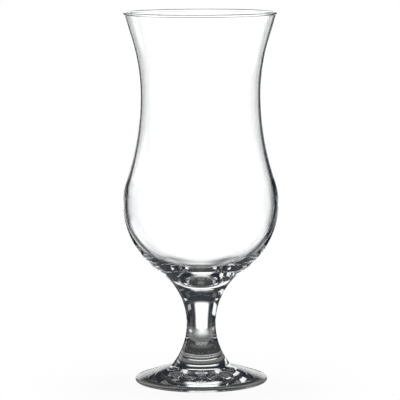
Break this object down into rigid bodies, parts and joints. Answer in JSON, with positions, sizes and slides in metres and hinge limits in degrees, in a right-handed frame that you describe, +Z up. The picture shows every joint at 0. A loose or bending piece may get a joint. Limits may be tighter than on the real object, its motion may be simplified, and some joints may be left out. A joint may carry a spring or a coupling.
{
  "type": "hurricane glass",
  "caption": "Clear hurricane cocktail glass: flared rim, narrow waist and round belly on a short solid stem and a low conical foot.",
  "frame": {"origin": "middle of the plane that the foot's rest ring stands on", "axes": "+Z up along the axis of revolution; the glass is round, so +X and +Y are alike"},
  "size_m": [0.0842, 0.0842, 0.2],
  "materials": {
    "clear_glass": "clear colourless soda-lime glass, fire-polished, gloss"
  },
  "bodies": {
    "root": {"bowl": "clear_glass", "stem": "clear_glass", "foot": "clear_glass"}
  },
  "joints": []
}
